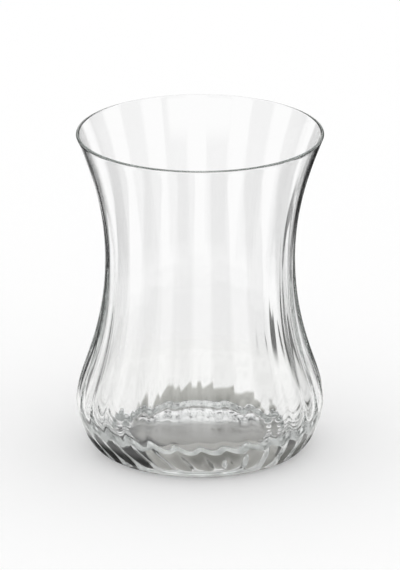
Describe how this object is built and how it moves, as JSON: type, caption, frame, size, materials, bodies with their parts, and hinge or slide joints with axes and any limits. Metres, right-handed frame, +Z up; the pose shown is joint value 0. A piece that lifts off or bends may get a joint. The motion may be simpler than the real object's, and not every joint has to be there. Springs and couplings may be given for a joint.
{
  "type": "chai glass",
  "caption": "Clear hourglass tea glass with a thin flared lip, slim waist, round low bulge and soft upright ribs, for drinking hot spiced tea.",
  "frame": {"origin": "middle of the foot, on the plane that the glass stands on", "axes": "+Z up the glass along its axis; a ridge between two inner flutes faces -Y, the front of the picture"},
  "size_m": [0.0754, 0.0754, 0.1],
  "materials": {
    "clear_glass": "clear soda-lime glass, fire-polished and smooth all over"
  },
  "bodies": {
    "root": {"chai_glass": "clear_glass"}
  },
  "joints": []
}
